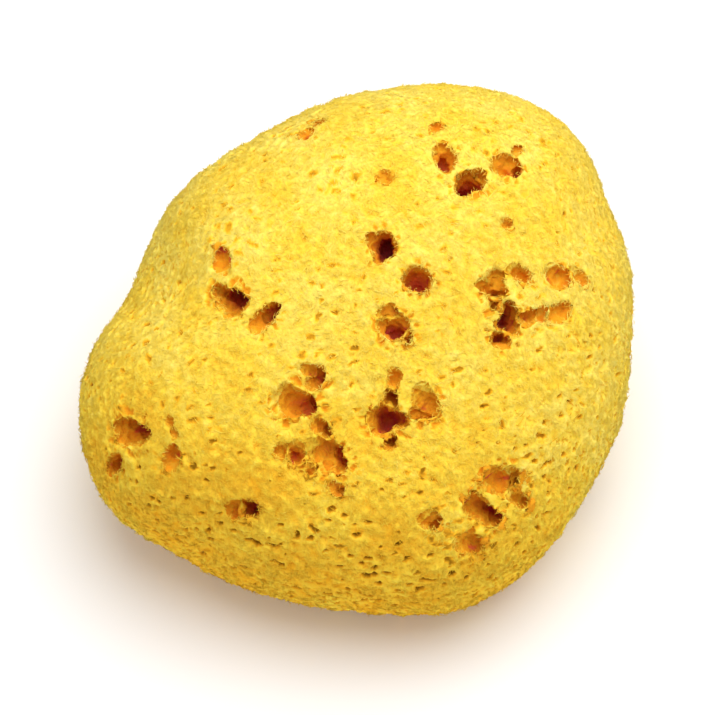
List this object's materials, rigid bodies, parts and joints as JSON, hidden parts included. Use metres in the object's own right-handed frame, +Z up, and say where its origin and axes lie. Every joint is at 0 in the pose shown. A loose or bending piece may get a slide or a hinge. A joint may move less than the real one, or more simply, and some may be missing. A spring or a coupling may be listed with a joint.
{
  "type": "sea sponge",
  "caption": "Natural bath sponge: a puffed, lobed, golden yellow body riddled with canal mouths, cut flat underneath where it grew on rock.",
  "frame": {"origin": "on the surface it rests on, under the middle of the sponge's bounding box", "axes": "+Z up, square to the flat cut base; +X along the sponge's length; the crown with the widest canal mouths leans towards -Y"},
  "size_m": [0.1384, 0.1332, 0.0965],
  "materials": {
    "spongin": "dry springy spongin fibre, matte and pale yellow at the tips, deeper gold between them and red-brown inside the canals"
  },
  "bodies": {
    "root": {"sponge": "spongin"}
  },
  "joints": []
}
